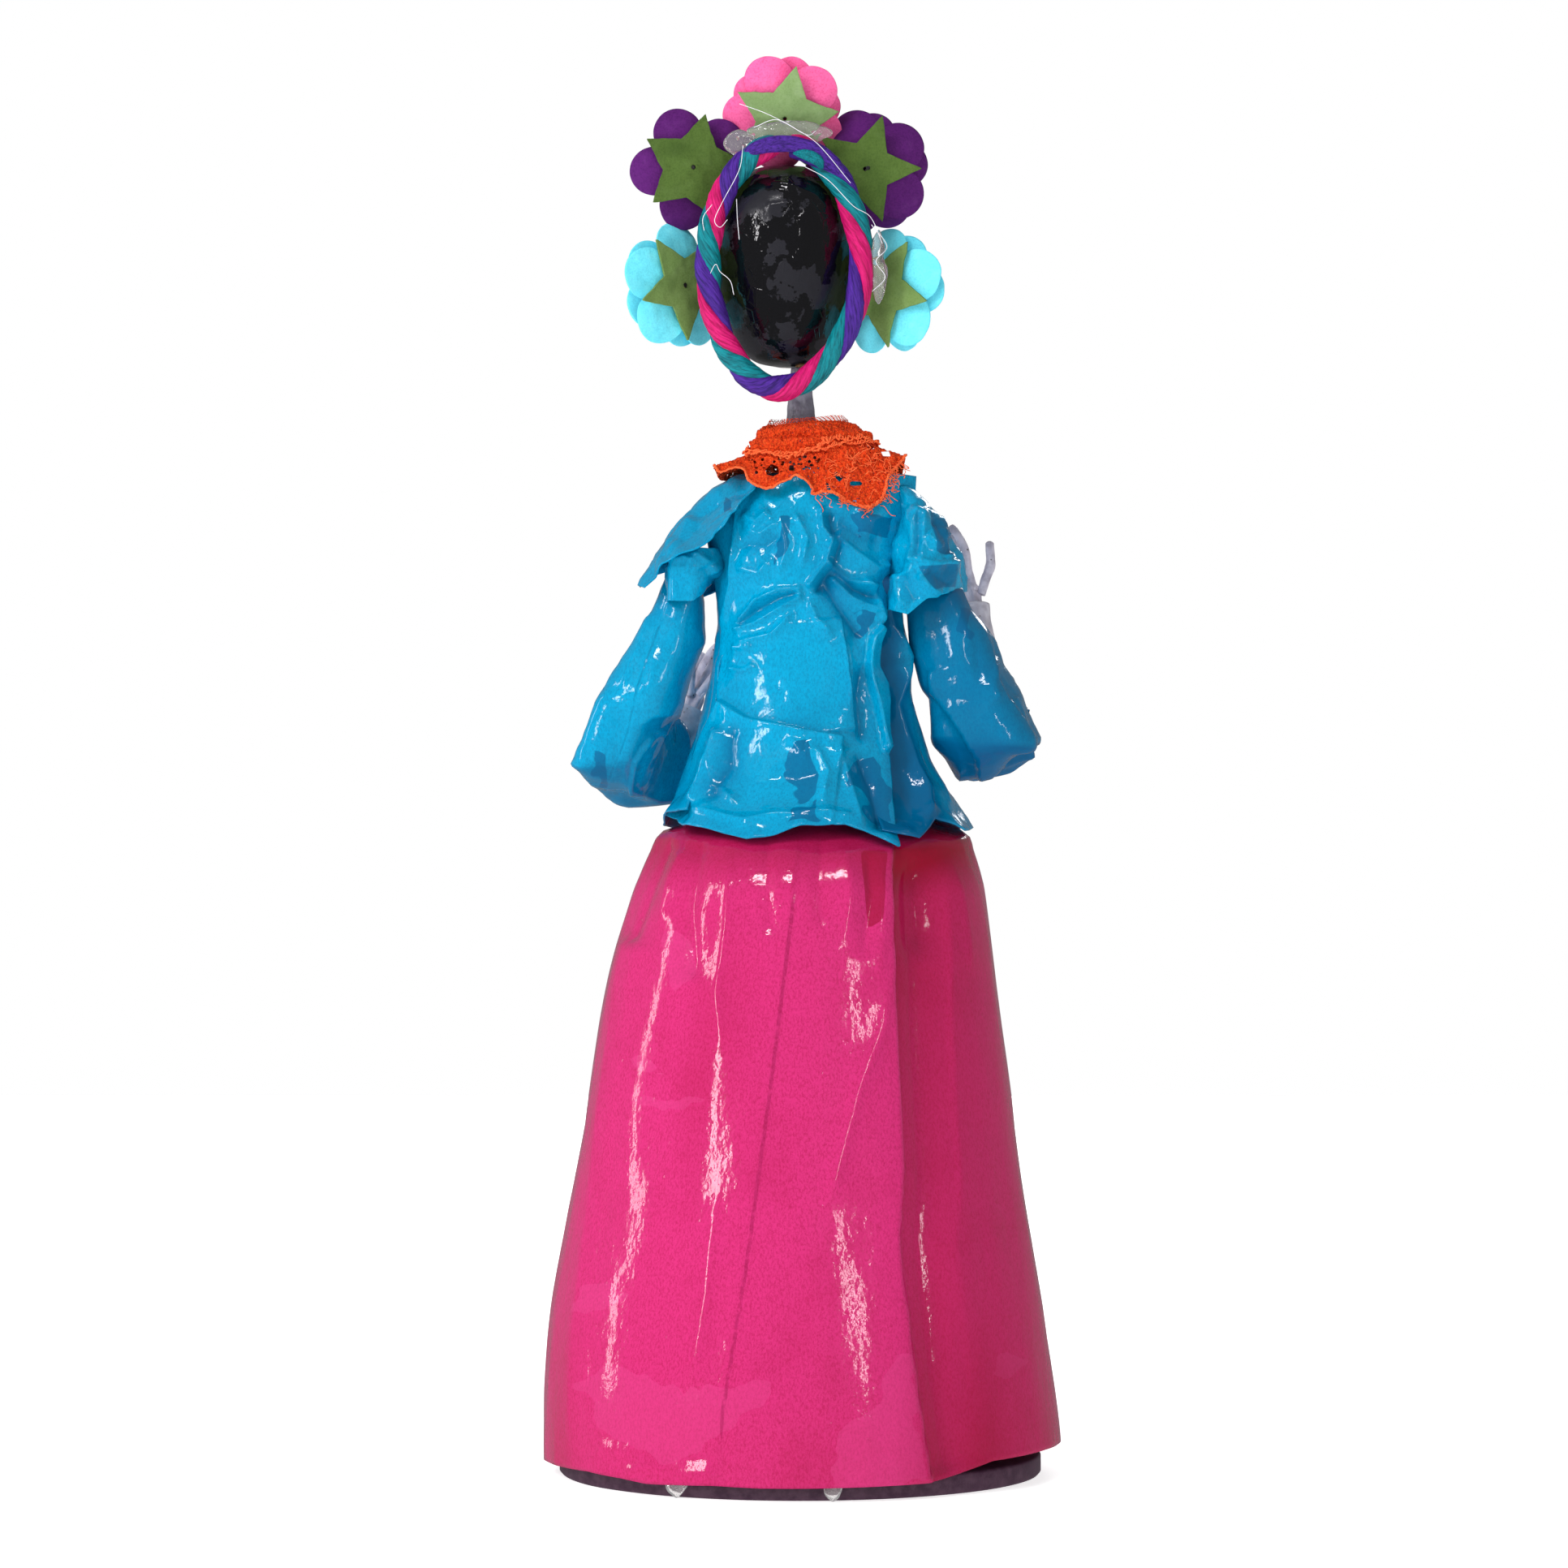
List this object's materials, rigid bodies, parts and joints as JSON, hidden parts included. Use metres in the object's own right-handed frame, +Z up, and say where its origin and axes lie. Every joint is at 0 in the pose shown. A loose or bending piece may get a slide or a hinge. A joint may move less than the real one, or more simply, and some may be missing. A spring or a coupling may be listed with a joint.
{
  "type": "papier-mache catrina figure",
  "caption": "Standing papier-mache skeleton lady with a flower crown, a braid, a lace collar, a blouse and a long skirt; head, arms and hands turn.",
  "frame": {"origin": "middle of the base disc's underside, on the surface the figure stands on", "axes": "+Z up along the dowel, +Y the way the figure faces, +X the figure's right-hand side"},
  "size_m": [0.1144, 0.1144, 0.3131],
  "materials": {
    "painted_card": "satin",
    "wood": "matte",
    "newspaper": "matte",
    "pink_paper": "gloss",
    "blue_paper": "gloss",
    "white_paper": "satin",
    "white_wire": "satin",
    "wire": "satin",
    "stamen_wire": "satin",
    "black_lacquer": "gloss",
    "orange_lace": "matte",
    "hot_glue": "gloss",
    "braid_pink_cord": "satin",
    "braid_teal_cord": "satin",
    "braid_purple_cord": "satin",
    "green_paper": "matte",
    "pink_petal": "matte",
    "purple_petal": "matte",
    "blue_petal": "matte"
  },
  "bodies": {
    "torso": {"base_disc": "painted_card", "spine_dowel": "wood", "skirt": "pink_paper", "hem_glue_back_left": "hot_glue", "hem_glue_back_right": "hot_glue", "hem_glue_front": "hot_glue", "torso_core": "newspaper", "shoulder_axle": "wire", "blouse_back": "blue_paper", "blouse_front": "blue_paper", "left_sleeve_cap": "blue_paper", "right_sleeve_cap": "blue_paper", "neck": "white_paper", "lace_collar": "orange_lace"},
    "head": {"skull": "black_lacquer", "braid_pink": "braid_pink_cord", "braid_teal": "braid_teal_cord", "braid_purple": "braid_purple_cord", "crown_glue_left": "hot_glue", "crown_glue_right": "hot_glue", "top_flower_calyx": "green_paper", "top_flower_petals": "pink_petal", "top_flower_inner_petals": "pink_petal", "top_flower_stamen": "stamen_wire", "upper_left_flower_calyx": "green_paper", "upper_left_flower_petals": "purple_petal", "upper_left_flower_inner_petals": "purple_petal", "upper_left_flower_stamen": "stamen_wire", "upper_right_flower_calyx": "green_paper", "upper_right_flower_petals": "purple_petal", "upper_right_flower_inner_petals": "purple_petal", "upper_right_flower_stamen": "stamen_wire", "lower_left_flower_calyx": "green_paper", "lower_left_flower_petals": "blue_petal", "lower_left_flower_inner_petals": "blue_petal", "lower_left_flower_stamen": "stamen_wire", "lower_right_flower_calyx": "green_paper", "lower_right_flower_petals": "blue_petal", "lower_right_flower_inner_petals": "blue_petal", "lower_right_flower_stamen": "stamen_wire"},
    "left_arm": {"left_sleeve": "blue_paper", "left_arm_wire": "wire", "left_wrist_tube": "white_paper"},
    "left_hand": {"left_palm": "white_wire", "left_thumb": "white_wire", "left_index_finger": "white_wire", "left_middle_finger": "white_wire", "left_ring_finger": "white_wire", "left_little_finger": "white_wire"},
    "right_arm": {"right_sleeve": "blue_paper", "right_arm_wire": "wire", "right_wrist_tube": "white_paper"},
    "right_hand": {"right_palm": "white_wire", "right_thumb": "white_wire", "right_index_finger": "white_wire", "right_middle_finger": "white_wire", "right_ring_finger": "white_wire", "right_little_finger": "white_wire"}
  },
  "joints": [
    {"name": "head_turn", "type": "hinge", "parent": "torso", "child": "head", "pos_m": [0, 0, 0.25], "axis": [0, 0, 1], "range_deg": [-20, 20]},
    {"name": "left_shoulder", "type": "hinge", "parent": "torso", "child": "left_arm", "pos_m": [-0.0244, 0, 0.208], "axis": [1, 0, 0], "range_deg": [-4, 10]},
    {"name": "right_shoulder", "type": "hinge", "parent": "torso", "child": "right_arm", "pos_m": [0.0244, 0, 0.208], "axis": [1, 0, 0], "range_deg": [-4, 10]},
    {"name": "left_wrist", "type": "hinge", "parent": "left_arm", "child": "left_hand", "pos_m": [-0.0246, 0.0236, 0.169], "axis": [0.3497, 0.2477, 0.9035], "range_deg": [-25, 25]},
    {"name": "right_wrist", "type": "hinge", "parent": "right_arm", "child": "right_hand", "pos_m": [0.0394, 0.0294, 0.1926], "axis": [-0.0894, 0.3179, 0.9439], "range_deg": [-25, 25]}
  ]
}
